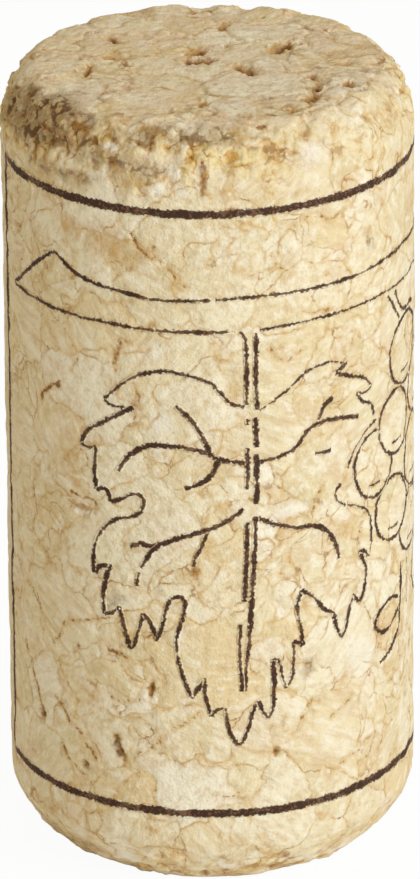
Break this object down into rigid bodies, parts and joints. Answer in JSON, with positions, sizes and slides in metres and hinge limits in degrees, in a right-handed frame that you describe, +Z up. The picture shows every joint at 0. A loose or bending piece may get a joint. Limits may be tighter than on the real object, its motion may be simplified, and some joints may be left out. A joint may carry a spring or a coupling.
{
  "type": "cork stopper",
  "caption": "Straight wine cork of pressed cork granules with chamfered ends and a brown printed frame, vine leaf and grape bunch on its wall.",
  "frame": {"origin": "centre of the lower end, where the cork stands", "axes": "+Z up along the cork's axis; -Y is the printed front with the leaf, +X is to the right of it, towards the grapes"},
  "size_m": [0.022, 0.022, 0.044],
  "materials": {
    "cork": "pressed cork granules, dry and matt, with thin brown seams and small open pores",
    "print_ink": "thin dark brown ink soaked into the cork, patchy, matt"
  },
  "bodies": {
    "root": {"cork": "cork", "vine_print": "print_ink"}
  },
  "joints": []
}
